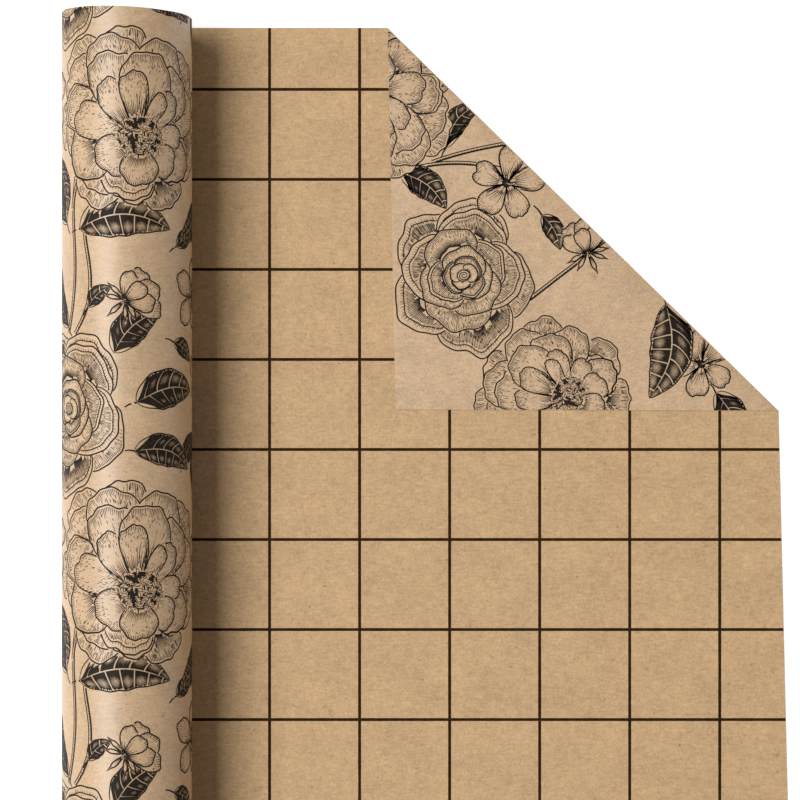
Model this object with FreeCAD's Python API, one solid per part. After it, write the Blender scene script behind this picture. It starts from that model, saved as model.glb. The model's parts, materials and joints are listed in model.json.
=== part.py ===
"""A roll of kraft gift wrap with a stretch of paper pulled out of it and one corner folded over.

Frame, in millimetres: Y runs along the roll, X points the way the paper is pulled, Z is up.
The origin is on the surface that the paper lies on, under the roll's axis, halfway along it.

The web leaves the roll at the bottom. Two leaves of it lie on the surface. The lead leaf stays
beside the roll. The pulled sheet lies on the lead leaf and slides out over it as the roll turns,
so that paper always reaches from the roll to the sheet. The sheet's far corner is folded back.
"""

import FreeCAD
import Part

import math
import os

# The paper web
paper_width = 431.8
paper_thickness = 0.11
layer_clearance = 0.06

# The core: plies of paperboard wound on each other, from the bore outwards
core_bore_diameter = 26.0
core_ply_thickness = 0.43
core_ply_names = ("core_liner_ply", "core_middle_ply", "core_outer_ply")
core_setback = 1.0

# The line of glue that holds the start of the web on the core
glue_width = 4.0
glue_thickness = 0.1
glue_end_margin = 20.0

# The wound web
turns_on_roll = 29
winding_pitch = 0.12

# The printed grid, which sets where the sheet ends under the roll and how far it is drawn out
grid_pitch = 25.4
sheet_start = 12.8
feed_pitches = 2
lead_leaf_start = -3.0
lead_leaf_lap = 2.6

# The pulled sheet: its far edge is cut a little out of square
pull_out_at_top = 179.2
pull_out_at_bottom = 189.5

# The folded corner: where the fold leaves the top edge and the far edge
fold_start_from_axis = 71.2
fold_end_below_top = 108.3
crease_gap = 0.3
fold_edge_clearance = 0.15

# Sizes that follow
half_width = paper_width / 2
core_half_length = half_width - core_setback
core_outer_radius = core_bore_diameter / 2 + len(core_ply_names) * core_ply_thickness
roll_radius = core_outer_radius + turns_on_roll * winding_pitch
roll_axis_height = paper_thickness + layer_clearance + roll_radius
feed_travel = feed_pitches * grid_pitch
lead_leaf_end = sheet_start + feed_travel + lead_leaf_lap
sheet_bottom = paper_thickness + layer_clearance
corner_bottom = sheet_bottom + paper_thickness + crease_gap
fold_axis_height = corner_bottom - crease_gap / 2


def tube(inner_radius, outer_radius, half_length):
    """A tube along the roll's axis."""
    base = FreeCAD.Vector(0, -half_length, roll_axis_height)
    along = FreeCAD.Vector(0, 1, 0)
    outside = Part.makeCylinder(outer_radius, 2 * half_length, base, along)
    bore = Part.makeCylinder(inner_radius, 2 * half_length, base, along)
    return outside.cut(bore)


def leaf(corners, bottom):
    """A flat leaf of paper with these corners, lying at that height."""
    points = [FreeCAD.Vector(x, y, bottom) for x, y in corners]
    outline = Part.makePolygon(points + points[:1])
    return Part.Face(outline).extrude(FreeCAD.Vector(0, 0, paper_thickness))


def far_edge_at(y):
    """How far the sheet reaches from the roll's axis at this place along it."""
    share = (y + half_width) / paper_width
    return pull_out_at_bottom + share * (pull_out_at_top - pull_out_at_bottom)


def fold_line():
    """The fold's two ends, its direction and the direction square to it that points at the sheet."""
    fold_end_y = half_width - fold_end_below_top
    start = FreeCAD.Vector(fold_start_from_axis, half_width, 0)
    end = FreeCAD.Vector(far_edge_at(fold_end_y), fold_end_y, 0)
    along = (end - start).normalize()
    inwards = FreeCAD.Vector(along.y, -along.x, 0)
    return start, end, along, inwards


def pulled_back_from_fold(start, end, inwards, first_edge, second_edge):
    """The fold's two ends moved inwards by the clearance, each along the edge that it lies on."""
    moved = []
    for point, edge in ((start, first_edge), (end, second_edge)):
        step = fold_edge_clearance / abs(edge.dot(inwards))
        moved.append(point + edge * step)
    return moved


def core_plies():
    """Each ply is a tube that lies on the one inside it."""
    plies = {}
    radius = core_bore_diameter / 2
    for name in core_ply_names:
        plies[name] = tube(radius, radius + core_ply_thickness, core_half_length)
        radius += core_ply_thickness
    return plies


def core_glue_line():
    """A thin bead along the top of the core, between the core and the first turn of paper."""
    film = tube(core_outer_radius, core_outer_radius + glue_thickness, core_half_length - glue_end_margin)
    reach = core_outer_radius + glue_thickness
    corner = FreeCAD.Vector(-glue_width / 2, -half_width, roll_axis_height)
    sector = Part.makeBox(glue_width, paper_width, reach + 1, corner)
    return film.common(sector)


def wound_paper(glue):
    """All turns of the web on the core, with the hollow that the glue fills."""
    return tube(core_outer_radius, roll_radius, half_width).cut(glue)


def lead_leaf():
    """The leaf that lies on the surface from the roll's lowest line to under the pulled sheet."""
    corners = (
        (lead_leaf_start, -half_width),
        (lead_leaf_end, -half_width),
        (lead_leaf_end, half_width),
        (lead_leaf_start, half_width),
    )
    return leaf(corners, 0)


def pulled_sheet():
    """The sheet that is drawn out, cut off along the fold."""
    start, end, along, inwards = fold_line()
    top_edge = FreeCAD.Vector(-1, 0, 0)
    far_edge = FreeCAD.Vector(pull_out_at_bottom - pull_out_at_top, -paper_width, 0).normalize()
    near, far = pulled_back_from_fold(start, end, inwards, top_edge, far_edge)
    corners = (
        (sheet_start, -half_width),
        (pull_out_at_bottom, -half_width),
        (far.x, far.y),
        (near.x, near.y),
        (sheet_start, half_width),
    )
    return leaf(corners, sheet_bottom)


def folded_corner():
    """The sheet's corner, mirrored across the fold, so that it lies on the sheet."""
    start, end, along, inwards = fold_line()
    corner = FreeCAD.Vector(pull_out_at_top, half_width, 0)
    height = (corner - start).dot(inwards)
    mirrored = corner - inwards * (2 * height)
    first_edge = (mirrored - start).normalize()
    second_edge = (mirrored - end).normalize()
    near, far = pulled_back_from_fold(start, end, inwards, first_edge, second_edge)
    corners = ((near.x, near.y), (far.x, far.y), (mirrored.x, mirrored.y))
    return leaf(corners, corner_bottom)


def make_parts():
    """Every node's solid, by name."""
    parts = core_plies()
    parts["core_glue_line"] = core_glue_line()
    parts["wound_paper"] = wound_paper(parts["core_glue_line"])
    parts["lead_leaf"] = lead_leaf()
    parts["pulled_sheet"] = pulled_sheet()
    parts["folded_corner"] = folded_corner()
    return parts


os.makedirs("parts", exist_ok=True)
for node, shape in make_parts().items():
    shape.exportStep(f"parts/{node}.step")

start, end, along, inwards = fold_line()
print(f"roll radius {roll_radius:.3f}, axis height {roll_axis_height:.3f}")
print(f"web on the roll {math.pi * (core_outer_radius + roll_radius) * turns_on_roll / 1000:.2f} m")
print(f"fold from {tuple(start)} to {tuple(end)}, hinge at height {fold_axis_height:.3f}")
print(f"fold direction {tuple(along)}")
print(f"feed travel {feed_travel:.2f}, roll turn {math.degrees(feed_travel / roll_radius):.3f} degrees")
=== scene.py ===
import json
import math
import random

import bpy
import numpy as np
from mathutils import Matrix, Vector


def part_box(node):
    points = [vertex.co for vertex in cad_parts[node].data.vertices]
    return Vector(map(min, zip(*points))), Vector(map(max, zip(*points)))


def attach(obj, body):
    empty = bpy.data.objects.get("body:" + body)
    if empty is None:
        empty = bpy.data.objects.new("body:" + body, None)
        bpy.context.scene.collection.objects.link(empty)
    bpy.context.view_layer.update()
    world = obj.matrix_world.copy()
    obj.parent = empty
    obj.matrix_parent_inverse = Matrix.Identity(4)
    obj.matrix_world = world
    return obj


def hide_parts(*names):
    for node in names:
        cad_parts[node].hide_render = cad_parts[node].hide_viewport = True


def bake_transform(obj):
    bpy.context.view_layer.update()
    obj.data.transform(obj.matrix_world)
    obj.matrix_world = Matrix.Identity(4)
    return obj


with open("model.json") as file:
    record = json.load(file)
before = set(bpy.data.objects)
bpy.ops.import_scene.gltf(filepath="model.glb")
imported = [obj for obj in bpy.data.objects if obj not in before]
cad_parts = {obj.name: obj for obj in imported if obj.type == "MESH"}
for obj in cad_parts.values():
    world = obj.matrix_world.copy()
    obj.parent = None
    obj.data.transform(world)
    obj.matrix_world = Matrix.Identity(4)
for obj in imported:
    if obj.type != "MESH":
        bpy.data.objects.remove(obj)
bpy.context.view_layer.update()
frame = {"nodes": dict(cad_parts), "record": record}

mm = 0.001


# The core: three plies of grey-brown recycled board, wound on each other as slanting strips whose
# edges butt. Each ply's seam lies a third of a turn from the next one's. The ends are sawn off.
core_low, core_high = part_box("core_liner_ply")
core_half_length = core_high[1]
axis_height = (core_low[2] + core_high[2]) / 2
bore_radius = frame["record"]["mounts"][0]["dims"]["r_mm"] * mm
ply_thickness = 0.43 * mm
ply_pitch = 52 * mm
ply_seam = 0.3 * mm
board_colour = (0.30, 0.205, 0.125, 1)
ply_names = ("liner", "middle", "outer")


def select_only(piece):
    """Leaves edit mode and makes this the one selected and active object."""
    if bpy.context.mode != "OBJECT":
        bpy.ops.object.mode_set(mode="OBJECT")
    bpy.ops.object.select_all(action="DESELECT")
    if piece:
        piece.select_set(True)
        bpy.context.view_layer.objects.active = piece


def node(tree, kind, sockets, **settings):
    """Adds a node. A socket is given a number, a colour or another node's output."""
    made = tree.nodes.new("ShaderNode" + kind)
    for name, value in settings.items():
        setattr(made, name, value)
    for name, value in sockets.items():
        if isinstance(value, bpy.types.NodeSocket):
            tree.links.new(value, made.inputs[name])
        else:
            made.inputs[name].default_value = value
    return made


def arithmetic(tree, operation, *terms):
    """One sum on numbers or on nodes' outputs."""
    return node(tree, "Math", dict(enumerate(terms)), operation=operation).outputs[0]


def between(tree, value, low, high, to_low, to_high):
    """The value, moved from one range to another and held inside it."""
    sockets = {"Value": value, "From Min": low, "From Max": high, "To Min": to_low, "To Max": to_high}
    return node(tree, "MapRange", sockets).outputs["Result"]


def sum_of(tree, *terms):
    """Adds up values that are each given with a factor."""
    total = 0.0
    for value, factor in terms:
        total = arithmetic(tree, "MULTIPLY_ADD", value, factor, total)
    return total


def new_group(name, inputs, outputs):
    """A shader group with these sockets, given as names and kinds, and what comes in through them."""
    group = bpy.data.node_groups.new(name, "ShaderNodeTree")
    for direction, sockets in (("INPUT", inputs), ("OUTPUT", outputs)):
        for socket, kind in sockets.items():
            group.interface.new_socket(name=socket, in_out=direction, socket_type="NodeSocket" + kind)
    return group, group.nodes.new("NodeGroupInput").outputs


def put_out(group, results):
    """Links the group's results to its output sockets."""
    made = group.nodes.new("NodeGroupOutput")
    for name, value in results.items():
        group.links.new(value, made.inputs[name])


def fibre_group():
    """Pulp, as seen in paper and board: clouds, grain, fine ribs, broken fibres and dark specks."""
    inputs = {"Place": "Vector", "Paper": "Color", "Clouds": "Float", "Fibres": "Float", "Gloss": "Float"}
    outputs = {"Color": "Color", "Roughness": "Float", "Height": "Float"}
    group, given = new_group("pulp_fibres", inputs, outputs)
    # How many of each mark go into a metre
    cloud_scale, mottle_scale, grain_scale, rib_scale = 95, 420, 1900, 1500
    dark_fibre_scale, light_fibre_scale, speck_scale, rarity_scale = 300, 340, 330, 210

    def noise(scale, detail, distortion=0.0, shift=0.0):
        moved = node(group, "VectorMath", {0: given["Place"], 1: (shift, shift, shift)}, operation="ADD")
        sockets = {"Vector": moved.outputs[0], "Scale": scale, "Detail": detail, "Distortion": distortion}
        return node(group, "TexNoise", sockets).outputs["Fac"]

    def fibres(scale, shift):
        """Thin crooked lines, where a noise crosses its middle value, broken up by another noise."""
        off_middle = arithmetic(group, "SUBTRACT", noise(scale, 1.0, 1.6, shift), 0.5)
        crooked = between(group, arithmetic(group, "ABSOLUTE", off_middle), 0.004, 0.022, 1.0, 0.0)
        broken = between(group, noise(scale * 1.3, 1.0, 0.0, shift + 3), 0.5, 0.6, 0.0, 1.0)
        return arithmetic(group, "MULTIPLY", crooked, broken)

    machine_way = node(group, "VectorMath", {0: given["Place"], 1: (0.22, 1, 0.22)}, operation="MULTIPLY")
    ribs = {"Vector": machine_way.outputs[0], "Scale": rib_scale, "Detail": 1.0}
    ribs = sum_of(group, (node(group, "TexNoise", ribs).outputs["Fac"], 1.0), (-0.5, 1.0))
    patches = noise(cloud_scale, 5.0), noise(mottle_scale, 3.0, 0.0, 1)
    clouds = sum_of(group, (patches[0], 0.7), (patches[1], 0.6), (-0.65, 1.0))
    grain = sum_of(group, (noise(grain_scale, 2.0, 0.0, 2), 1.0), (-0.5, 1.0))
    dark, light = fibres(dark_fibre_scale, 5), fibres(light_fibre_scale, 9)
    cells = node(group, "TexVoronoi", {"Vector": given["Place"], "Scale": speck_scale}).outputs["Distance"]
    rare = between(group, noise(rarity_scale, 0.0, 0.0, 7), 0.60, 0.66, 0.0, 1.0)
    specks = arithmetic(group, "MULTIPLY", between(group, cells, 0.07, 0.13, 1.0, 0.0), rare)
    cloudy = sum_of(group, (clouds, 1.0), (grain, 1.35), (ribs, 0.6))
    marks = sum_of(group, (light, 0.55), (dark, -0.9), (specks, -1.6))
    tone = sum_of(group, (cloudy, given["Clouds"]), (marks, given["Fibres"]), (1.0, 1.0))
    colour = node(group, "VectorMath", {0: given["Paper"], "Scale": tone}, operation="SCALE").outputs[0]
    matt = sum_of(group, (grain, 0.25), (clouds, 0.12), (light, -0.04), (given["Gloss"], -1.0), (1.0, 1.0))
    height = sum_of(group, (grain, 1.0), (clouds, 0.8), (ribs, 0.6), (dark, 0.25), (light, 0.35))
    put_out(group, {"Color": colour, "Roughness": matt, "Height": height})
    return group


def material_from(name, group, settings, specular):
    """A material whose colour and roughness come from this group, its shader and its group node."""
    material = bpy.data.materials.new(name)
    material.use_nodes = True
    tree = material.node_tree
    place = node(tree, "TexCoord", {}).outputs["Object"]
    effect = node(tree, "Group", {"Place": place, **settings}, node_tree=group)
    shader = tree.nodes["Principled BSDF"]
    for output, socket in (("Color", "Base Color"), ("Roughness", "Roughness")):
        tree.links.new(effect.outputs[output], shader.inputs[socket])
    shader.inputs["Specular IOR Level"].default_value = specular
    return material, shader, effect


def pulp_material(name, colour, clouds, fibres, gloss, relief, specular=0.4):
    """Paper or board. Relief is the depth of its tooth, in metres."""
    settings = {"Paper": colour, "Clouds": clouds, "Fibres": fibres, "Gloss": gloss}
    material, shader, pulp = material_from(name, pulp_fibres, settings, specular)
    tree = material.node_tree
    bump = node(tree, "Bump", {"Height": pulp.outputs["Height"], "Strength": 1.0, "Distance": relief})
    tree.links.new(bump.outputs[0], shader.inputs["Normal"])
    return material


def wind_ply(name, node_name, layer, material):
    """A ply: the strip's own section, carried round the core on a screw line, then sawn to length."""
    select_only(None)
    bpy.ops.mesh.primitive_plane_add(size=1, location=(0, 0, axis_height), rotation=(0, math.pi / 2, 0))
    piece = bpy.context.object
    piece.name = piece.data.name = name
    bpy.ops.object.transform_apply(location=False, rotation=True, scale=False)
    bpy.ops.object.mode_set(mode="EDIT")
    bpy.ops.transform.resize(value=(1, ply_pitch - ply_seam, ply_thickness))
    shift = -core_half_length - ply_pitch * (1 + layer / len(ply_names))
    bpy.ops.transform.translate(value=(0, shift, bore_radius + ply_thickness * (layer + 0.5)))
    bpy.ops.object.mode_set(mode="OBJECT")
    winding = piece.modifiers.new("winding", "SCREW")
    winding.axis = "Y"
    winding.screw_offset = ply_pitch
    winding.iterations = int(2 * core_half_length / ply_pitch) + 4
    winding.steps = winding.render_steps = 96
    winding.use_merge_vertices = False
    bpy.ops.object.modifier_apply(modifier="winding")
    bpy.ops.object.transform_apply(location=True, rotation=False, scale=False)
    bpy.ops.object.mode_set(mode="EDIT")
    for end in (-core_half_length, core_half_length):
        bpy.ops.mesh.select_all(action="SELECT")
        bpy.ops.mesh.bisect(
            plane_co=(0, end, 0), plane_no=(0, 1, 0), use_fill=True,
            clear_inner=end < 0, clear_outer=end > 0,
        )
    bpy.ops.mesh.select_all(action="SELECT")
    bpy.ops.mesh.normals_make_consistent(inside=False)
    bpy.ops.object.mode_set(mode="OBJECT")
    bpy.ops.object.shade_smooth_by_angle(angle=math.radians(30))
    piece.data.materials.append(material)
    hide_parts(node_name)
    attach(piece, "roll")


pulp_fibres = fibre_group()
core_board = pulp_material("recycled_board", board_colour, 0.55, 0.22, 0.12, 0.05 * mm, 0.25)
for layer, ply in enumerate(ply_names):
    wind_ply(f"core_{ply}_strip", f"core_{ply}_ply", layer, core_board)


# The glue line: a bead of white glue, brushed along the core, that holds the start of the web. It
# has dried clear in places and milky in others. It is never seen unless the roll is used up.
glue_colour = (0.72, 0.66, 0.52, 1)


def film_group():
    """A thin film that is lighter and rougher in patches. The tones are shares of its colour."""
    inputs = {"Place": "Vector", "Paint": "Color"}
    numbers = ("Scale", "Detail", "Tone From", "Low Tone", "High Tone", "Smooth", "Rough")
    inputs |= dict.fromkeys(numbers, "Float")
    group, given = new_group("patchy_film", inputs, {"Color": "Color", "Roughness": "Float"})
    noise = {"Vector": given["Place"], "Scale": given["Scale"], "Detail": given["Detail"]}
    patches = node(group, "TexNoise", noise).outputs["Fac"]
    tone = between(group, patches, given["Tone From"], 0.7, given["Low Tone"], given["High Tone"])
    colour = node(group, "VectorMath", {0: given["Paint"], "Scale": tone}, operation="SCALE").outputs[0]
    matt = between(group, patches, 0.3, 0.7, given["Smooth"], given["Rough"])
    put_out(group, {"Color": colour, "Roughness": matt})
    return group


patchy_film = film_group()
milky = {"Scale": 240, "Detail": 4.0, "Tone From": 0.3, "Low Tone": 0.7, "High Tone": 1.1}
glue_settings = {"Paint": glue_colour, "Smooth": 0.25, "Rough": 0.5, **milky}
dried_glue = material_from("dried_glue", patchy_film, glue_settings, 0.5)[0]
for holder in frame["nodes"]["core_glue_line"].material_slots:
    holder.link = "OBJECT"
    holder.material = dried_glue


# The wound web: one long strip of kraft paper wound tight on the core from the glue line outwards,
# with the outermost turn closed round it, a little askew. Its cut edges end up a hair out of line.
roll_radius = 17.77 * mm
half_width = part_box("wound_paper")[1][1]
paper_thickness = 0.11 * mm
core_radius = bore_radius + len(ply_names) * ply_thickness
wound_turns = 27.5
steps_per_turn = 120
glue_bump = 0.1 * mm
bump_turns = 13
glue_half_angle = 0.2
edge_scatter = 0.35 * mm
outer_shift = 0.4 * mm
outer_skew = 0.7 * mm
print_side_colour = (0.60, 0.407, 0.238, 1)
grid_side_colour = (0.57, 0.375, 0.196, 1)
# The cut edges are darker than either face. This is partly the fibres' own end-on tone and partly painted
# shade between the wound layers.
cut_edge_shaded_colour = (0.42, 0.27, 0.145, 1)


def piece_from(name, corners, faces, materials, wears=None):
    """A mesh piece at the origin, from its corners, its faces and which material each face wears."""
    mesh = bpy.data.meshes.new(name)
    mesh.from_pydata(np.asarray(corners).tolist(), [], np.asarray(faces).tolist())
    for material in materials:
        mesh.materials.append(material)
    if wears is not None:
        mesh.polygons.foreach_set("material_index", np.asarray(wears, np.int32))
    mesh.update()
    piece = bpy.data.objects.new(name, mesh)
    bpy.context.scene.collection.objects.link(piece)
    return piece


def map_faces(piece, places):
    """Gives the piece a map of its own that has these places for its faces' corners, in order."""
    layer = piece.data.uv_layers.new(name="OFBake")
    layer.data.foreach_set("uv", np.asarray(places, np.float32).ravel())


def askew(angles):
    """How far along the roll the outermost turn has crept, at these angles from the top."""
    return outer_shift - outer_skew * np.sin(angles)


def strip_rings(angles, radii, reach, shift=0.0):
    """The strip's four corners at each station: inside and outside, at one end and then the other."""
    rings = []
    low, high = shift - reach, shift + reach
    outside = radii + paper_thickness
    for radius, end in ((radii, low), (outside, low), (outside, high), (radii, high)):
        rings.append(np.stack([radius * np.sin(angles), end, axis_height + radius * np.cos(angles)], -1))
    return np.stack(rings, 1).reshape(-1, 3)


def strip_faces(stations, closed, base):
    """Four walls between each two stations: the first end, the outside, the other end, the inside."""
    here = np.arange(stations if closed else stations - 1)
    ahead = (here + 1) % stations
    walls = []
    for side in range(4):
        after = (side + 1) % 4
        wall = 4 * here + side, 4 * here + after, 4 * ahead + after, 4 * ahead + side
        walls.append(np.stack(wall, -1) + base)
    return np.stack(walls, 1).reshape(-1, 4)


def strip_map(stations, rows):
    """Each wall of each station's stretch is a small upright box in the map, in the row of its turn."""
    along = np.arange(stations - 1)
    left, level = (along % steps_per_turn) / steps_per_turn, along // steps_per_turn
    right = left + 1 / steps_per_turn
    places = []
    for side in range(4):
        low, high = (level + side / 4) / rows, (level + side / 4 + 0.2) / rows
        box = ((left, low), (left, high), (right, high), (right, low))
        places.append(np.stack([np.stack(corner, -1) for corner in box], 1))
    return np.stack(places, 1).reshape(-1, 2)


print_side = pulp_material("kraft_printed_face", print_side_colour, 0.46, 0.20, 0.58, 0.02 * mm, 0.85)
grid_side = pulp_material("kraft_ruled_face", grid_side_colour, 0.50, 0.20, 0.32, 0.03 * mm)
# The cut-edge material's darker colour is partly painted shade between the wound layers.
cut_edge_shaded = pulp_material("kraft_cut_edge_shaded", cut_edge_shaded_colour, 0.8, 0.3, 0.15, 0.05 * mm, 0.2)

scatter = random.Random(5)
last_inside = roll_radius - 2 * paper_thickness
station = np.arange(int(wound_turns * steps_per_turn) + 1)
turn = station / steps_per_turn
off_top = (turn + 0.5) % 1 - 0.5
over_glue = np.clip(1.5 - np.abs(off_top) * 2 * math.pi / glue_half_angle, 0, 1)
bump = glue_bump * np.clip(1 - turn / bump_turns, 0, 1) * over_glue
spiral_radii = core_radius + (last_inside - core_radius) * turn / wound_turns + bump
offsets = np.array([scatter.uniform(0, 1) for _ in range(int(wound_turns) + 3)])
spiral_reach = half_width - edge_scatter * np.interp(turn, np.arange(len(offsets)), offsets)
spiral = strip_rings(-2 * math.pi * turn, spiral_radii, spiral_reach)
spiral_faces = strip_faces(len(station), False, 0)
last = 4 * (len(station) - 1)
caps = np.array([[3, 2, 1, 0], [last, last + 1, last + 2, last + 3]])

skin_steps = 2 * steps_per_turn
skin_angles = -2 * math.pi * np.arange(skin_steps) / skin_steps
skin_inside = np.full(skin_steps, roll_radius - paper_thickness)
skin = strip_rings(skin_angles, skin_inside, half_width, askew(skin_angles))
skin_faces = strip_faces(skin_steps, True, len(spiral))

web_corners = np.concatenate([spiral, skin])
web_faces = np.concatenate([spiral_faces, skin_faces, caps])
web_wears = np.concatenate([np.tile([2, 0, 2, 1], len(web_faces) // 4), [2, 2]])
wound_web = piece_from("wound_web", web_corners, web_faces, (print_side, grid_side, cut_edge_shaded), web_wears)

# The spiral takes the map's lower half. The outermost turn's four walls get bands above it.
map_rows = 60
skin_bands = (0.995, 1.0), (0.52, 0.99), (0.515, 0.519), (0.505, 0.51)
skin_left = np.arange(skin_steps) / skin_steps
skin_right = skin_left + 1 / skin_steps
skin_places = []
for low, high in skin_bands:
    box = ((skin_left, low), (skin_left, high), (skin_right, high), (skin_right, low))
    skin_places.append(np.stack([np.stack([u, np.full(skin_steps, v)], -1) for u, v in box], 1))
spiral_places = strip_map(len(station), map_rows)
skin_places = np.stack(skin_places, 1).reshape(-1, 2)
cap_places = np.tile([[0.0, 0.49], [0.01, 0.49], [0.01, 0.5], [0.0, 0.5]], (2, 1))
map_faces(wound_web, np.concatenate([spiral_places, skin_places, cap_places]))
select_only(wound_web)
bpy.ops.object.shade_smooth_by_angle(angle=math.radians(30))
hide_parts("wound_paper")
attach(wound_web, "roll")


# The print on the roll: black ink in the manner of an engraving, with big ruffled blooms, roses,
# small five-petalled flowers, buds and dark leaves. The ink is a film that lies on the paper.
# All of it is drawn here in millimetres, u round the roll from its top and v along it.
turn_length = 2 * math.pi * roll_radius / mm
pattern_repeat = 121.6
outline_weight, shade_weight, tick_weight = 0.43, 0.28, 0.22
root_gap, side_gap, rim_gap, lip_gap, leaf_gap = 0.46, 0.55, 0.52, 0.9, 0.37
ink_height = 0.02 * mm
ink_margin = 0.05
ink_colour = (0.019, 0.013, 0.009, 1)
pen = random.Random(11)


def inside(points, outline):
    """Which points lie inside this closed outline."""
    x, y = points[:, 0, None], points[:, 1, None]
    x0, y0 = outline[:, 0], outline[:, 1]
    x1, y1 = np.roll(x0, -1), np.roll(y0, -1)
    crosses = (y0 > y) != (y1 > y)
    rise = np.where(y1 == y0, 1.0, y1 - y0)
    return ((crosses & (x < x0 + (y - y0) * (x1 - x0) / rise)).sum(axis=1) % 2) == 1


def line(points, weight, start=1.0, end=1.0):
    """A pen line that thins by these shares towards its ends."""
    points = np.asarray(points, float)
    return points, weight * np.linspace(start, end, len(points))


def swelling_line(points, weight):
    """A pen line that is at its widest halfway."""
    points = np.asarray(points, float)
    return points, weight * (0.5 + 0.5 * np.sin(math.pi * np.linspace(0, 1, len(points))) ** 0.7)


def showing(strokes, masks):
    """The runs of these strokes that no mask in front of them hides."""
    if not strokes or not masks:
        return strokes
    points = np.concatenate([p for p, w in strokes])
    hidden = np.zeros(len(points), bool)
    for mask in masks:
        low, high = mask.min(axis=0), mask.max(axis=0)
        near = ~hidden & (points >= low).all(axis=1) & (points <= high).all(axis=1)
        if near.any():
            hidden[near] = inside(points[near], mask)
    kept, at = [], 0
    for p, w in strokes:
        seen = ~hidden[at : at + len(p)]
        at += len(p)
        edges = np.flatnonzero(np.diff(np.concatenate([[0], seen.astype(int), [0]])))
        kept += [(p[a:b], w[a:b]) for a, b in zip(edges[::2], edges[1::2]) if b - a > 1]
    return kept


def flatten(layers):
    """A motif from its layers, front first: the strokes that show, and the masks that hide others."""
    strokes, masks = [], []
    for mask, drawn in layers:
        strokes += showing(drawn, masks)
        masks.append(mask)
    return strokes, masks


def petal(centre, facing, span, reach, root, cover, ruffle, point=0.0, shade=0.35, lip=0.0, skew=0.0):
    """A petal. Facing and span are in degrees, root is how far it reaches at its sides, and cover is
    the share of it that the petals in front hide."""
    facing, span = math.radians(facing), math.radians(span)
    phases = [pen.uniform(0, 2 * math.pi) for _ in range(3)]

    def at(s, share):
        s = np.asarray(s, float)
        dome = np.clip(1 - np.abs(s) ** 2.6, 0, 1) ** 0.5
        waves = sum(a * np.sin(f * s + p) for a, f, p in zip((1, 0.7, 0.35), (5, 11, 21), phases))
        tip = point * np.exp(-((s / 0.14) ** 2))
        rim = reach * (root + (1 - root) * dome) * (1 + ruffle * waves * dome + tip)
        angle = facing + s * span / 2 + skew * (share - 0.5)
        out = rim * share
        return np.stack([centre[0] + out * np.cos(angle), centre[1] + out * np.sin(angle)], -1)

    arc = reach * span
    sides = np.sin(np.linspace(-math.pi / 2, math.pi / 2, max(15, int(arc / 0.55))))
    rim = at(sides, 1.0)
    mask = np.concatenate([rim, at(sides[::-1][::3], 0.02)])
    drawn = [swelling_line(rim, outline_weight)]
    for s in (-1, 1):
        drawn.append(line(at(s, np.linspace(1, 0.1, 9)), outline_weight * 0.7, 0.9, 0.6))
    for s in np.linspace(-0.95, 0.95, max(5, int(arc * (cover + 0.15) / root_gap))):
        depth = shade * (0.5 + 0.9 * abs(s) ** 1.5) * pen.uniform(0.6, 1.25)
        shares = np.linspace(max(cover - 0.1, 0.03), min(cover + depth, 0.9), 4)
        drawn.append(line(at(s, shares), shade_weight, 1.35, 0.25))
    for side in (-1, 1):
        for share in np.arange(max(cover, 0.2), 0.9, side_gap / reach):
            width = shade * pen.uniform(0.3, 0.75) * (0.6 if side > 0 else 1)
            inwards = side * np.linspace(0.99, 0.99 - width, 3)
            drawn.append(line(at(inwards, share + 0.05), tick_weight, 1.2, 0.2))
    top = 0.975 - 1.15 * lip
    for s in np.linspace(-0.92, 0.92, max(5, int(arc / rim_gap))):
        depth = pen.uniform(0.03, 0.11) * (1.7 if pen.random() < 0.25 else 1)
        drawn.append(line(at(s, np.array([top, top - depth])), tick_weight, 1.1, 0.3))
        if pen.random() < 0.55:
            start = top - depth - pen.uniform(0.02, 0.05)
            shares = np.array([start, start - pen.uniform(0.02, 0.05)])
            drawn.append(line(at(s + 0.01, shares), tick_weight * 0.8))
    if lip:
        drawn.append(swelling_line(at(sides[2:-2] * 0.97, 1 - lip), outline_weight * 0.75))
        for s in np.linspace(-0.9, 0.9, max(5, int(arc / lip_gap))):
            shares = np.linspace(1 - lip, 1 - lip * pen.uniform(0.3, 0.7), 3)
            drawn.append(line(at(s, shares), tick_weight, 0.9, 0.3))
    for _ in range(int(arc * reach * 0.04)):
        s, share = pen.uniform(-0.8, 0.8), pen.uniform(cover + 0.1, 0.9)
        shares = np.array([share, share + pen.uniform(0.02, 0.06)])
        drawn.append(line(at(s, shares), tick_weight * 0.8, 1, 0.6))
    return mask, drawn


def oval(x, y, width, height, lean=0.0, corners=24):
    """A closed oval outline."""
    t = np.arange(corners) * 2 * math.pi / corners
    along, across = np.cos(t) * width / 2, np.sin(t) * height / 2
    c, s = math.cos(lean), math.sin(lean)
    return np.stack([x + along * c - across * s, y + along * s + across * c], -1)


def anther(x, y, lean, length, width):
    outline = oval(x, y, length, width, lean, 8)
    return outline, [line(np.concatenate([outline, outline[:1]]), 0.17)]


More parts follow.
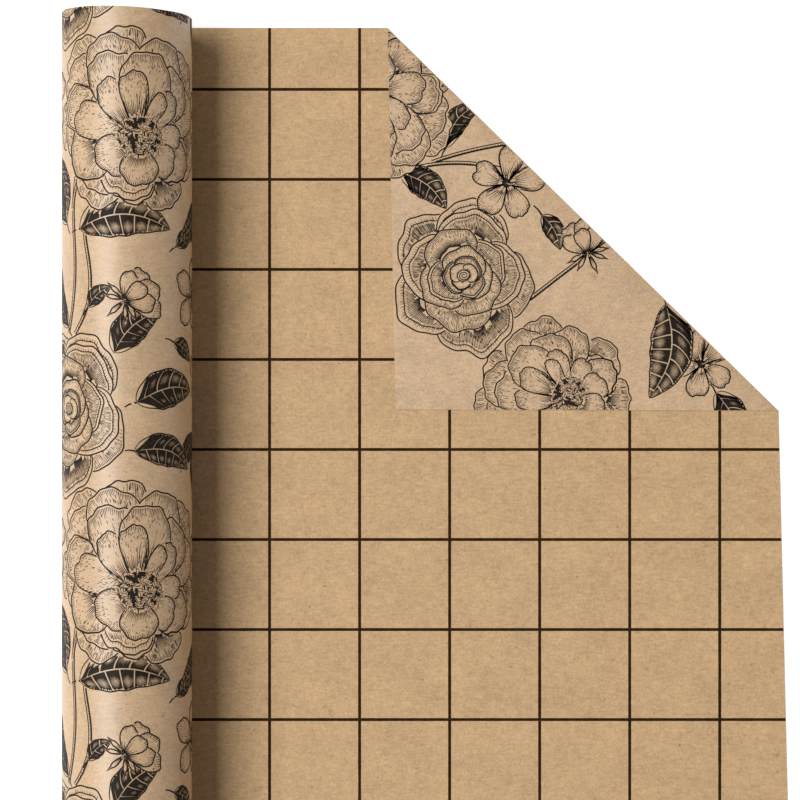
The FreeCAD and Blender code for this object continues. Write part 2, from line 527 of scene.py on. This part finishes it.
def peony():
    """A big open bloom: a heap of anthers, short petals before them, tall ones behind, then rings."""
    eye = (3.0, -4.5)
    layers = []
    for _ in range(95):
        r, a = 6.7 * math.sqrt(pen.random()), pen.uniform(0, 2 * math.pi)
        place = eye[0] + r * math.cos(a), eye[1] + r * math.sin(a) * 0.8
        lean, length, width = pen.uniform(0, math.pi), pen.uniform(1.5, 2.1), pen.uniform(0.55, 0.75)
        layers.append(anther(*place, lean, length, width))
    dark = []
    for x in np.arange(-6, 6.1, 0.34):
        half = 5.1 * math.sqrt(max(0, 1 - (x / 6.3) ** 2))
        dark.append(line([(eye[0] + x, eye[1] + y) for y in np.linspace(-half, half, 24)], 0.36))
    layers.append((oval(*eye, 12.6, 10.2), dark))
    low_eye = (eye[0], eye[1] - 1.5)
    for facing, span, reach in ((268, 92, 11.5), (208, 88, 13.0), (325, 76, 12.0)):
        layers.append(petal(low_eye, facing, span, reach, 0.35, 0.40, 0.03, shade=0.3))
    inner = (70, 34, 13.5), (104, 44, 17.5), (40, 46, 15.5), (136, 50, 17.5), (8, 50, 13.0)
    outer = (86, 66, 22.5), (122, 62, 24.0), (52, 62, 21.5), (160, 50, 20.0)
    for facing, span, reach in inner + outer:
        skew = pen.uniform(-0.45, 0.45)
        layers.append(petal(eye, facing, span, reach, 0.26, 0.34, 0.025, shade=0.45, skew=skew))
    hanging = (
        (-3, -4, 212, 92, 16.5), (1, -5, 262, 84, 16.5),
        (5, -3, 318, 78, 16.5), (-2, 1, 172, 64, 19.0),
    )
    for x, y, facing, span, reach in hanging:
        lip = pen.uniform(0.0, 0.12)
        layers.append(petal((x, y), facing, span, reach, 0.3, 0.5, 0.03, point=0.04, shade=0.32, lip=lip))
    for k in range(8):
        facing, span = 15 + 45 * k + pen.uniform(-9, 9), pen.uniform(56, 70)
        reach, skew = pen.uniform(21.5, 24.5), pen.uniform(-0.2, 0.2)
        layers.append(petal((0, 0), facing, span, reach, 0.3, 0.62, 0.022, shade=0.3, skew=skew))
    for k in range(7):
        facing, span = 38 + 51 * k + pen.uniform(-10, 10), pen.uniform(44, 58)
        reach = pen.uniform(24.5, 26.5)
        layers.append(petal((0, 0), facing, span, reach, 0.3, 0.8, 0.02, shade=0.14))
    return flatten(layers)


def rose():
    """A curled heart with rings of petals round it, whose lips roll outwards."""
    heart = oval(0, 0, 3.8, 3.2)
    curl = np.linspace(0, 4.4 * math.pi, 40)
    spiral_line = np.stack([(0.25 + curl / 9) * np.cos(curl), (0.2 + curl / 10.5) * np.sin(curl)], -1)
    layers = [(heart, [line(spiral_line, 0.3), line(heart, 0.3)])]
    close_rings = (3, 3.9, 165, 0.3), (3, 6.2, 160, 0.8), (3, 9.3, 150, 1.3)
    wide_rings = (4, 12.9, 124, 1.5), (4, 17.4, 118, 1.3), (5, 21.8, 96, 0.8)
    within = 1.9
    for ring, (count, reach, span, drift) in enumerate(close_rings + wide_rings):
        first = 40 * ring + pen.uniform(-12, 12)
        for k in range(count):
            facing = first + 360 / count * k + pen.uniform(-10, 10)
            centre = (pen.uniform(-drift, drift), pen.uniform(-drift, drift))
            size = reach * pen.uniform(0.94, 1.06)
            point, lip = pen.uniform(0.02, 0.09), pen.uniform(0.05, 0.12) if pen.random() < 0.6 else 0.0
            cover, shade, skew = within / reach * 0.96, pen.uniform(0.14, 0.26), pen.uniform(-0.2, 0.2)
            layers.append(petal(centre, facing, span, size, 0.4, cover, 0.02, point, shade, lip, skew))
        within = reach
    return flatten(layers)


def blossom(reach):
    """A small flower with five petals."""
    layers = []
    for k in range(11):
        a, r = 2 * math.pi * k / 11 + pen.uniform(-0.2, 0.2), pen.uniform(2.0, 3.0)
        x, y = r * math.cos(a), r * math.sin(a)
        mask, drawn = anther(x, y, a, 0.9, 0.6)
        layers.append((mask, drawn + [line([(0.3 * x, 0.3 * y), (0.8 * x, 0.8 * y)], 0.2)]))
    rings = [oval(0, 0, d, d, corners=12) for d in (0.6, 1.4, 2.2)]
    layers.append((rings[-1], [line(ring, 0.4) for ring in rings]))
    for k in range(5):
        facing, span = 90 + 72 * k + pen.uniform(-8, 8), 70 + pen.uniform(-4, 10)
        size, point = reach * pen.uniform(0.9, 1.08), pen.choice((-0.06, 0.05))
        skew = pen.uniform(-0.3, 0.3)
        layers.append(petal((0, 0), facing, span, size, 0.12, 0.2, 0.03, point, 0.6, skew=skew))
    return flatten(layers)


def bud():
    """A half-open bud, which faces up from its stem's end at the origin, with its sepals."""
    layers = []
    front = (98, 64, 8.2, 0.4), (58, 60, 9.6, 0.5), (136, 60, 9.0, 0.5)
    back = (84, 66, 11.6, 0.3), (116, 60, 11.2, 0.3), (50, 54, 12.0, 0.3)
    for facing, span, reach, shade in front + back:
        layers.append(petal((0, 0), facing, span, reach, 0.2, 0.2, 0.03, shade=shade))
    for facing in (-160, -128, -75, -30, 0):
        layers.append(petal((0, 0.8), facing, 26, pen.uniform(4.5, 6), 0.05, 0.1, 0, point=0.35, shade=0.9))
    return flatten(layers)


def leaf(length=22.0, width=11.0, bend=0.12, rolled=False):
    """A leaf that starts at the origin. It is inked dark with its veins left bare, and the lower
    half of a rolled leaf curls over and is inked as a row of bulges."""

    def at(t, s):
        t, s = np.asarray(t, float), np.asarray(s, float)
        half = width / 2 * np.sin(math.pi * np.clip(t, 0, 1) ** 0.82) ** 0.8 * (1 + 0.03 * np.sin(26 * t))
        slope = bend * math.pi * np.cos(math.pi * t)
        size = np.sqrt(1 + slope**2)
        along, across = length * t, bend * length * np.sin(math.pi * t)
        return np.stack([along - s * half * slope / size, across + s * half / size], -1)

    t = np.linspace(0, 1, max(20, int(length / 0.6)))
    upper, lower = at(t, 1), at(t, -1)
    drawn = [swelling_line(upper, outline_weight), swelling_line(lower, outline_weight)]
    drawn.append(line([(-3.5, -0.8), (-2, -0.2), (0, 0)], 0.55, 0.7, 1))
    count, lobe = int(length / leaf_gap), 11
    for side in (-1, 1):
        curls = rolled and side < 0
        for k in range(1, count):
            t0, cell = k / count, (k + 4 * (side > 0)) % lobe
            if cell == 0:
                continue
            middle = (min(cell, lobe - cell) / (lobe / 2)) ** 0.6
            s = np.linspace(0.03, pen.uniform(0.88, 0.99), 6)
            brightest, sweep = (0.85, 0.06) if curls else (0.72, 0.24)
            lit = brightest * middle * np.exp(-(((s - (0.5 if side > 0 else 0.6)) / 0.27) ** 2))
            t_out = np.minimum(t0 + sweep * s**1.5 * (1 - t0), 1)
            widths = 0.44 * pen.uniform(0.94, 1.1) * (1 - lit) * np.linspace(1, 0.8, 6)
            drawn.append((at(t_out, side * s), widths))
    return flatten([(np.concatenate([upper, lower[::-1]]), drawn)])


def stem(*knots):
    """A stem on the smooth curve that these control points give."""
    knots = np.array(knots, float)
    order = len(knots) - 1
    pieces = max(12, int(np.linalg.norm(np.diff(knots, axis=0), axis=1).sum() / 0.9))
    t = np.linspace(0, 1, pieces)[:, None]
    centre = sum(math.comb(order, k) * (1 - t) ** (order - k) * t**k * knots[k] for k in range(order + 1))
    along = np.gradient(centre, axis=0)
    across = np.stack([-along[:, 1], along[:, 0]], -1) / np.linalg.norm(along, axis=1)[:, None]
    left, right = centre + 0.42 * across, centre - 0.42 * across
    drawn = [line(left, 0.32), line(right, 0.5)]
    for k in range(1, pieces - 2):
        drawn.append(line([right[k], centre[k + 1] + 0.2 * along[k]], 0.26, 1.2, 0.4))
    return flatten([(np.concatenate([left, right[::-1]]), drawn)])


def placed(motif, u, v, turned=0.0, size=1.0, flipped=False):
    """The motif, flipped if need be, turned by degrees, sized and moved."""
    strokes, masks = motif
    c, s = size * math.cos(math.radians(turned)), size * math.sin(math.radians(turned))
    matrix = np.array([[c, s], [-s, c]])
    if flipped:
        matrix = np.array([[-1, 0], [0, 1]]) @ matrix
    shift = np.array([u, v])
    thinner = min(1, size**0.5)
    moved = [(points @ matrix + shift, widths * thinner) for points, widths in strokes]
    return moved, [mask @ matrix + shift for mask in masks]


def compose(motifs, repeats):
    """Lays motifs on each other, front first, and keeps the strokes that show."""
    strokes, masks = [], []
    for drawn, outlines in motifs:
        strokes += showing(drawn, masks)
        masks += [outline + step for outline in outlines for step in repeats]
    return strokes


def ribbons(strokes):
    """The strokes as flat strips: their corners and their quads."""
    corners, quads, base = [], [], 0
    for points, widths in strokes:
        along = np.gradient(points, axis=0)
        size = np.maximum(np.linalg.norm(along, axis=1), 1e-9)
        across = np.stack([-along[:, 1], along[:, 0]], -1) / size[:, None] * widths[:, None] / 2
        corners.append(np.stack([points + across, points - across], 1).reshape(-1, 2))
        k = base + 2 * np.arange(len(points) - 1)
        quads.append(np.stack([k, k + 1, k + 3, k + 2], 1))
        base += 2 * len(points)
    return np.concatenate(corners), np.concatenate(quads)


def repeated(pattern, u_low, u_high, v_low, v_high):
    """The pattern's strips, repeated over this stretch of web. A strip's last bit stops at its edges."""
    corners, quads = pattern
    all_corners, all_quads, base = [], [], 0
    low, high = (u_low, v_low), (u_high, v_high)
    spread, above, below = 90, 190, 60
    turns = range(math.floor((u_low - spread) / turn_length), math.ceil((u_high + spread) / turn_length))
    first, last = math.floor((v_low - above) / pattern_repeat), math.ceil((v_high + below) / pattern_repeat)
    for i in turns:
        for j in range(first, last):
            moved = corners + (i * turn_length, j * pattern_repeat)
            within = ((moved > low) & (moved < high)).all(axis=1)
            kept = quads[within[quads].any(axis=1)]
            if len(kept):
                all_corners.append(np.clip(moved, low, high))
                all_quads.append(kept + base)
                base += len(moved)
    return tidied(np.concatenate(all_corners), np.concatenate(all_quads))


def tidied(corners, quads):
    """Drops corners that no strip uses and strips that the edges have squeezed flat."""
    a, b, c, d = (corners[quads[:, k]] for k in range(4))
    area = np.abs((c[:, 0] - a[:, 0]) * (d[:, 1] - b[:, 1]) - (c[:, 1] - a[:, 1]) * (d[:, 0] - b[:, 0]))
    quads = quads[area > 1e-5]
    used, quads = np.unique(quads, return_inverse=True)
    return corners[used], quads.reshape(-1, 4)


def ink_material(name, colour, specular):
    """Printing ink, which the paper has taken up a little unevenly."""
    uneven = {"Scale": 1500, "Detail": 2.0, "Tone From": 0.35, "Low Tone": 0.8, "High Tone": 1.7}
    settings = {"Paint": colour, "Smooth": 0.45, "Rough": 0.6, **uneven}
    return material_from(name, patchy_film, settings, specular)[0]


def inked(name, flat, quads, places, film):
    """A film of ink: its flat drawing gives its map, and places says where it lies."""
    piece = piece_from(name, places, quads, (film,))
    low, high = flat.min(axis=0), flat.max(axis=0)
    map_faces(piece, ((flat - low) / (high - low))[quads.ravel()])
    return piece


def on_roll(flat):
    """Where a drawing lies on the roll."""
    angles, radius = flat[:, 0] * mm / roll_radius, roll_radius + ink_height
    across, up = radius * np.sin(angles), radius * np.cos(angles)
    return np.stack([across, flat[:, 1] * mm + askew(angles), axis_height + up], -1)


ink = ink_material("black_ink", ink_colour, 0.12)
big_peony, big_rose = peony(), rose()
small_flower, other_flower, half_bud = blossom(10.5), blossom(9.5), bud()
broad_leaf, narrow_leaf, little_leaf = leaf(), leaf(21, 8, 0.16), leaf(11, 5.5, 0.1)
rolled_leaf = leaf(27, 12, 0.14, True)
web_flowers = (
    (big_peony, 2.6, 64.2),
    (big_rose, -17, 107.5),
    (big_peony, 60, 36, 130, 0.92, True),
    (big_rose, 49, 96, 70, 0.95),
    (small_flower, 82, 70, 20),
    (other_flower, 33, 66, -30),
    (other_flower, 27, 18, 60, 1.05),
    (half_bud, 1, 15.5, -62, 0.9),
    (half_bud, 76, 100, 40, 0.9),
    (small_flower, 33, 119, 10, 0.8),
    (broad_leaf, -1.5, 1.5, 42, 0.8),
    (rolled_leaf, -12, 34.5, 2, 0.98),
    (broad_leaf, 4.5, 110, 10, 0.95),
    (rolled_leaf, 4, 97, -14, 0.72),
    (little_leaf, -9, 13.5, 40, 0.8),
    (narrow_leaf, -18, 36, 108, 0.9),
    (narrow_leaf, -17, 8, 110, 0.8),
    (narrow_leaf, 84, 54, -60, 0.9),
    (broad_leaf, 70, 66, 100, 0.8),
    (broad_leaf, 32, 45, -140, 0.8),
    (narrow_leaf, 74, 8, -40),
    (broad_leaf, 75, 116, 60, 0.8),
    (rolled_leaf, 28, 86, 60, 0.7),
    (little_leaf, 60, 66, 100),
    (little_leaf, 40, 55, 80),
    (little_leaf, 17, 31, 20, 0.9),
    (little_leaf, 16, 5, -30, 0.9),
    (broad_leaf, 20, 93, 40, 0.6),
)
web_stems = (
    ((-15, 40), (-14, 48), (-8, 55)),
    ((-17, 128), (-10, 150), (-18, 156), (-13, 172)),
    ((-14, 128), (-3, 140), (-12, 152), (-10, 158)),
    ((51, 75), (48, 66), (56, 60)),
    ((33, 56), (30, 45), (38, 30), (45, 28)),
    ((82, 60), (84, 50), (78, 40)),
    ((76, 98), (70, 85), (66, 62)),
    ((31, 10), (30, -5), (42, -16)),
)
web_motifs = [placed(*flower) for flower in web_flowers] + [stem(*knots) for knots in web_stems]
every_repeat = [np.array([i * turn_length, j * pattern_repeat]) for i in (-1, 0, 1) for j in (-1, 0, 1)]
web_pattern = ribbons(compose(web_motifs, every_repeat))
edge = half_width / mm - ink_margin
roll_flat, roll_quads = repeated(web_pattern, -turn_length / 2, turn_length / 2, -edge, edge)
roll_print = inked("roll_print", roll_flat, roll_quads, on_roll(roll_flat), ink)
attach(roll_print, "roll")


# The lead leaf: the stretch of web that the roll has just paid out. It lies flat on the table, print
# down, beside the roll and under the sheet. Its reverse is ruled in inch squares with a brown-black
# ink that has sunk into the paper.
leaf_low, leaf_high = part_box("lead_leaf")
sheet_low, sheet_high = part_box("pulled_sheet")
grid_pitch = 25.4
rule_width = 0.84
rule_colour = (0.0245, 0.011, 0.002, 1)
rule_ink = ink_material("sunk_rule_ink", rule_colour, 0.03)
first_rule_in = 17.36
first_cross_rule = half_width / mm - first_rule_in
first_long_rule = sheet_low[0] / mm


def rules(x_low, x_high, y_low, y_high, cuts=()):
    """The ruled lines on a stretch of web, as strokes in millimetres. The lines across are whole and
    the lines along stop at them. Cuts gives extra places on a line, where the paper bends."""
    across = [first_cross_rule - grid_pitch * k for k in range(18)]
    across = [y for y in across if y > y_low]
    along = [first_long_rule + grid_pitch * k for k in range(-1, 8)]
    along = [x for x in along if x_low - 0.01 <= x < x_high]
    ends = [((x_low, y), (x_high, y)) for y in across]
    stops = [y_high + rule_width / 2, *across, y_low - rule_width / 2]
    for x in along:
        x = max(x, x_low + rule_width / 2)
        ends += [((x, a - rule_width / 2), (x, b + rule_width / 2)) for a, b in zip(stops, stops[1:])]
    strokes = []
    for start, end in ends:
        start, end = np.array(start), np.array(end)
        length = np.linalg.norm(end - start)
        places = np.linspace(0, 1, int(length / 2) + 2)
        for cut in cuts:
            near, far = cut(start), cut(end)
            if near * far < 0:
                places = np.append(places, near / (near - far))
        points = start + np.sort(places)[:, None] * (end - start)
        wobble = np.array([pen.uniform(-0.04, 0.04) for _ in points])
        strokes.append((points, rule_width + wobble))
    return strokes


select_only(None)
leaf_middle = [(low + high) / 2 for low, high in zip(leaf_low, leaf_high)]
bpy.ops.mesh.primitive_plane_add(size=1, location=(leaf_middle[0], 0, leaf_middle[2]))
lead_leaf = bpy.context.object
lead_leaf.name = lead_leaf.data.name = "lead_leaf_paper"
bpy.ops.object.mode_set(mode="EDIT")
bpy.ops.transform.resize(value=(leaf_high[0] - leaf_low[0], 2 * half_width, 1))
bpy.ops.mesh.subdivide(number_cuts=7)
bpy.ops.object.mode_set(mode="OBJECT")
bpy.ops.object.transform_apply(location=True, rotation=False, scale=False)


def give_thickness(piece):
    """Gives a leaf its two sides: the reverse on its faces' own side and the print on the other."""
    for material in (grid_side, print_side, cut_edge_shaded):
        piece.data.materials.append(material)
    select_only(piece)
    thickness = piece.modifiers.new("thickness", "SOLIDIFY")
    thickness.thickness = paper_thickness
    thickness.offset = 0
    thickness.use_even_offset = False
    thickness.material_offset = 1
    thickness.material_offset_rim = 2
    bpy.ops.object.modifier_apply(modifier="thickness")
    bpy.ops.object.shade_smooth_by_angle(angle=math.radians(40))


give_thickness(lead_leaf)
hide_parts("lead_leaf")
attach(lead_leaf, "lead")

leaf_x = leaf_low[0] / mm + ink_margin, leaf_high[0] / mm - ink_margin
rule_flat, rule_quads = ribbons(rules(*leaf_x, -edge, edge))
rule_height = np.full(len(rule_flat), leaf_high[2] + ink_height)
rule_places = np.column_stack([rule_flat * mm, rule_height])
lead_rules = inked("lead_leaf_rules", rule_flat, rule_quads, rule_places, rule_ink)
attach(lead_rules, "lead")


def under_web(flat):
    """Where a web drawing lies, as x and y, on the print side of the stretch paid out."""
    return np.stack([-turn_length / 2 - flat[:, 0], flat[:, 1]], -1)


under_u = [-turn_length / 2 - x for x in reversed(leaf_x)]
under_flat, under_quads = repeated(web_pattern, *under_u, -edge, edge)
under_height = np.full(len(under_flat), leaf_low[2] - ink_height)
under_places = np.column_stack([under_web(under_flat) * mm, under_height])
lead_print = inked("lead_leaf_print", under_flat, under_quads, under_places, ink)
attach(lead_print, "lead")


# The pulled sheet and its corner: one piece of the same paper, cut a little out of square at its far
# edge. The far corner is turned back over the sheet by hand and creased, so that its print shows.
far_x_bottom = 189.5
far_x_top = 179.2
fold_from = np.array([71.2, 215.9])
fold_to = np.array([181.78335, 107.6])
sheet_middle = (sheet_low[2] + sheet_high[2]) / 2
corner_low, corner_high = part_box("folded_corner")
corner_middle = (corner_low[2] + corner_high[2]) / 2
crease_radius = (corner_middle - sheet_middle) / 2
crease_height = (corner_middle + sheet_middle) / 2
crease_start = -0.12
crease_length = math.pi * crease_radius / mm
fold_along = (fold_to - fold_from) / np.linalg.norm(fold_to - fold_from)
fold_outwards = np.array([-fold_along[1], fold_along[0]])
crease_steps = 10


def past_fold(flat):
    """How far places on the flat sheet lie past the fold line."""
    return (flat - fold_from) @ fold_outwards


def laid(flat, towards_print):
    """Where places on the flat sheet, given in millimetres, lie with the corner folded over."""
    past = past_fold(flat)
    turned = np.clip((past - crease_start) / crease_length, 0, 1) * math.pi
    beyond = np.maximum(past - crease_start - crease_length, 0)
    before = np.minimum(past, crease_start)
    radius = (crease_radius + towards_print) / mm
    outwards = before + radius * np.sin(turned) - beyond
    base = flat - past[:, None] * fold_outwards
    height = crease_height - (crease_radius + towards_print) * np.cos(turned)
    return np.column_stack([(base + outwards[:, None] * fold_outwards) * mm, height])


select_only(None)
bpy.ops.mesh.primitive_plane_add(size=1)
sheet = bpy.context.object
sheet.name = sheet.data.name = "sheet_and_corner"
for vertex in sheet.data.vertices:
    far, end = (far_x_bottom, -half_width / mm) if vertex.co.y < 0 else (far_x_top, half_width / mm)
    vertex.co = (sheet_low[0] / mm if vertex.co.x < 0 else far, end, 0)
bpy.ops.object.mode_set(mode="EDIT")
bend_places = [crease_start + crease_length * k / crease_steps for k in range(crease_steps + 1)]
for place in (-60, -25, -8, *bend_places, 8, 25, 50):
    at = fold_from + fold_outwards * place
    bpy.ops.mesh.select_all(action="SELECT")
    bpy.ops.mesh.bisect(plane_co=(*at, 0), plane_no=(*fold_outwards, 0), use_fill=False)
bpy.ops.object.mode_set(mode="OBJECT")
flat_corners = np.array([vertex.co[:2] for vertex in sheet.data.vertices])
sheet.data.vertices.foreach_set("co", laid(flat_corners, 0.0).ravel())
sheet.data.update()
give_thickness(sheet)
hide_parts("pulled_sheet", "folded_corner")
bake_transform(sheet)


def trimmed(flat):
    """Holds places inside the far edge, which isn't quite square to the others."""
    share = (flat[:, 1] * mm + half_width) / (2 * half_width)
    far = far_x_bottom + share * (far_x_top - far_x_bottom) - ink_margin
    return np.column_stack([np.minimum(flat[:, 0], far), flat[:, 1]])


# The ruled squares on the sheet run on round the crease onto the underside of the folded corner.
cuts = [lambda p, at=at: float(past_fold(p) - at) for at in bend_places]
sheet_rules_strokes = rules(sheet_low[0] / mm + ink_margin, far_x_bottom, -edge, edge, cuts)
sheet_rules_flat, sheet_rules_quads = ribbons(sheet_rules_strokes)
sheet_rules_flat, sheet_rules_quads = tidied(trimmed(sheet_rules_flat), sheet_rules_quads)
reverse_side = -(paper_thickness / 2 + ink_height)
sheet_rules_places = laid(sheet_rules_flat, reverse_side)
sheet_rules = inked("sheet_rules", sheet_rules_flat, sheet_rules_quads, sheet_rules_places, rule_ink)
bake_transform(sheet_rules)

# The print on the sheet's underside is the roll's own, run on.
print_side_lift = paper_thickness / 2 + ink_height
u_far, u_near = -turn_length / 2 - far_x_bottom, -turn_length / 2 - sheet_low[0] / mm
for name, v_low, v_high in (("sheet_print_low_end", -edge, 0), ("sheet_print_high_end", 0, edge)):
    flat, quads = repeated(web_pattern, u_far, u_near, v_low, v_high)
    places = trimmed(under_web(flat))
    past = past_fold(places)
    kept = quads[(past[quads] < crease_start).any(axis=1)]
    places = places - np.maximum(past - crease_start, 0)[:, None] * fold_outwards
    places, kept = tidied(places, kept)
    sheet_print = inked(name, places, kept, laid(places, print_side_lift), ink)
    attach(sheet_print, "sheet")


# The print on the folded corner, which lies face up: part of a bloom, a rose, small flowers and
# leaves on long stems. The ink has cracked off along the crease.
def print_on_corner(motif, x, y, turned=0.0, size=1.0):
    """The motif as it is seen on the folded corner, put where it lies on the flat sheet."""
    strokes, masks = placed(motif, x, y, turned, size)

    def unfold(points):
        past = past_fold(points)
        return points + (2 * crease_start + crease_length - 2 * past)[:, None] * fold_outwards

    return [(unfold(p), w) for p, w in strokes], [unfold(m) for m in masks]


corner_drawings = (
    (big_peony, 68, 195, 200, 0.9),
    (small_flower, 105, 172),
    (big_rose, 93, 146, 20, 0.98),
    (half_bud, 128, 152, 10, 0.9),
    (broad_leaf, 75, 175, -38, 0.75),
    (little_leaf, 115, 163, -62),
    (rolled_leaf, 150, 138, -100),
    (small_flower, 160, 121, 30, 0.9),
    (broad_leaf, 164, 113, -70, 0.8),
    (big_peony, 118, 112, 60, 0.85),
    (narrow_leaf, 88, 182, 50, 0.8),
    (stem((60, 168), (82, 182), (104, 176)), 0, 0),
    (stem((84, 178), (95, 182), (110, 184)), 0, 0),
    (stem((100, 130), (112, 140), (128, 152)), 0, 0),
)
corner_motifs = [print_on_corner(*drawing) for drawing in corner_drawings]
corner_flat, corner_quads = ribbons(compose(corner_motifs, [np.zeros(2)]))
past = past_fold(corner_flat)
crease_end = crease_start + crease_length
corner_quads = corner_quads[(past[corner_quads] > crease_end).any(axis=1)]
corner_flat = trimmed(corner_flat + np.maximum(crease_end - past, 0)[:, None] * fold_outwards)
corner_flat[:, 1] = np.minimum(corner_flat[:, 1], edge)
corner_flat, corner_quads = tidied(corner_flat, corner_quads[:, ::-1])
corner_print = inked("corner_print", corner_flat, corner_quads, laid(corner_flat, print_side_lift), ink)
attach(corner_print, "corner")


# The table top: a matt white board that the roll lies on. Soft light falls on it from a window on
# the left, and the camera looks straight down.
select_only(None)
bpy.ops.mesh.primitive_plane_add(size=60, location=(0, 0, -0.1 * mm))
table = bpy.context.object
table.name = table.data.name = "table_top"
table_white = bpy.data.materials.new("table_white")
table_white.use_nodes = True
table_shader = table_white.node_tree.nodes["Principled BSDF"]
table_shader.inputs["Base Color"].default_value = (0.93, 0.93, 0.93, 1)
table_shader.inputs["Roughness"].default_value = 0.9
table_shader.inputs["Specular IOR Level"].default_value = 0.1
table_shader.inputs["Emission Color"].default_value = (1, 1, 1, 1)
table_shader.inputs["Emission Strength"].default_value = 0.45
table.data.materials.append(table_white)

view_centre = Vector((75.0 * mm, 110.9 * mm, 0))
light_distance = 3.0
light_height = math.radians(59)
window = bpy.data.lights.new("window", "AREA")
window.shape = "RECTANGLE"
window.size = 3.6
window.size_y = 1.66
window.energy = 102
window_light = bpy.data.objects.new("window", window)
towards = Vector((-math.cos(light_height), 0, math.sin(light_height)))
window_light.location = view_centre + light_distance * towards
window_light.rotation_euler = towards.to_track_quat("Z", "Y").to_euler()
bpy.context.scene.collection.objects.link(window_light)

room_brightness = 0.20
backdrop_brightness = 0.66
room = bpy.data.worlds.new("room")
room.use_nodes = True
room_tree = room.node_tree
backdrop = room_tree.nodes["Background"]
backdrop.inputs["Color"].default_value = (1, 0.98, 0.96, 1)
# The room lights the object softly. Seen straight, it is as pale as the far end of the table.
seen_straight = node(room_tree, "LightPath", {}).outputs["Is Camera Ray"]
brightness = between(room_tree, seen_straight, 0.0, 1.0, room_brightness, backdrop_brightness)
room_tree.links.new(brightness, backdrop.inputs["Strength"])
bpy.context.scene.world = room
bpy.context.scene.view_settings.view_transform = "Standard"

camera_height = 677 * mm
seen_width = 225.8 * mm
camera_data = bpy.data.cameras.new("camera")
camera_data.sensor_width = 36
camera_data.lens = camera_data.sensor_width * camera_height / seen_width
camera = bpy.data.objects.new("camera", camera_data)
camera.location = view_centre + Vector((0, 0, camera_height))
bpy.context.scene.collection.objects.link(camera)
bpy.context.scene.camera = camera
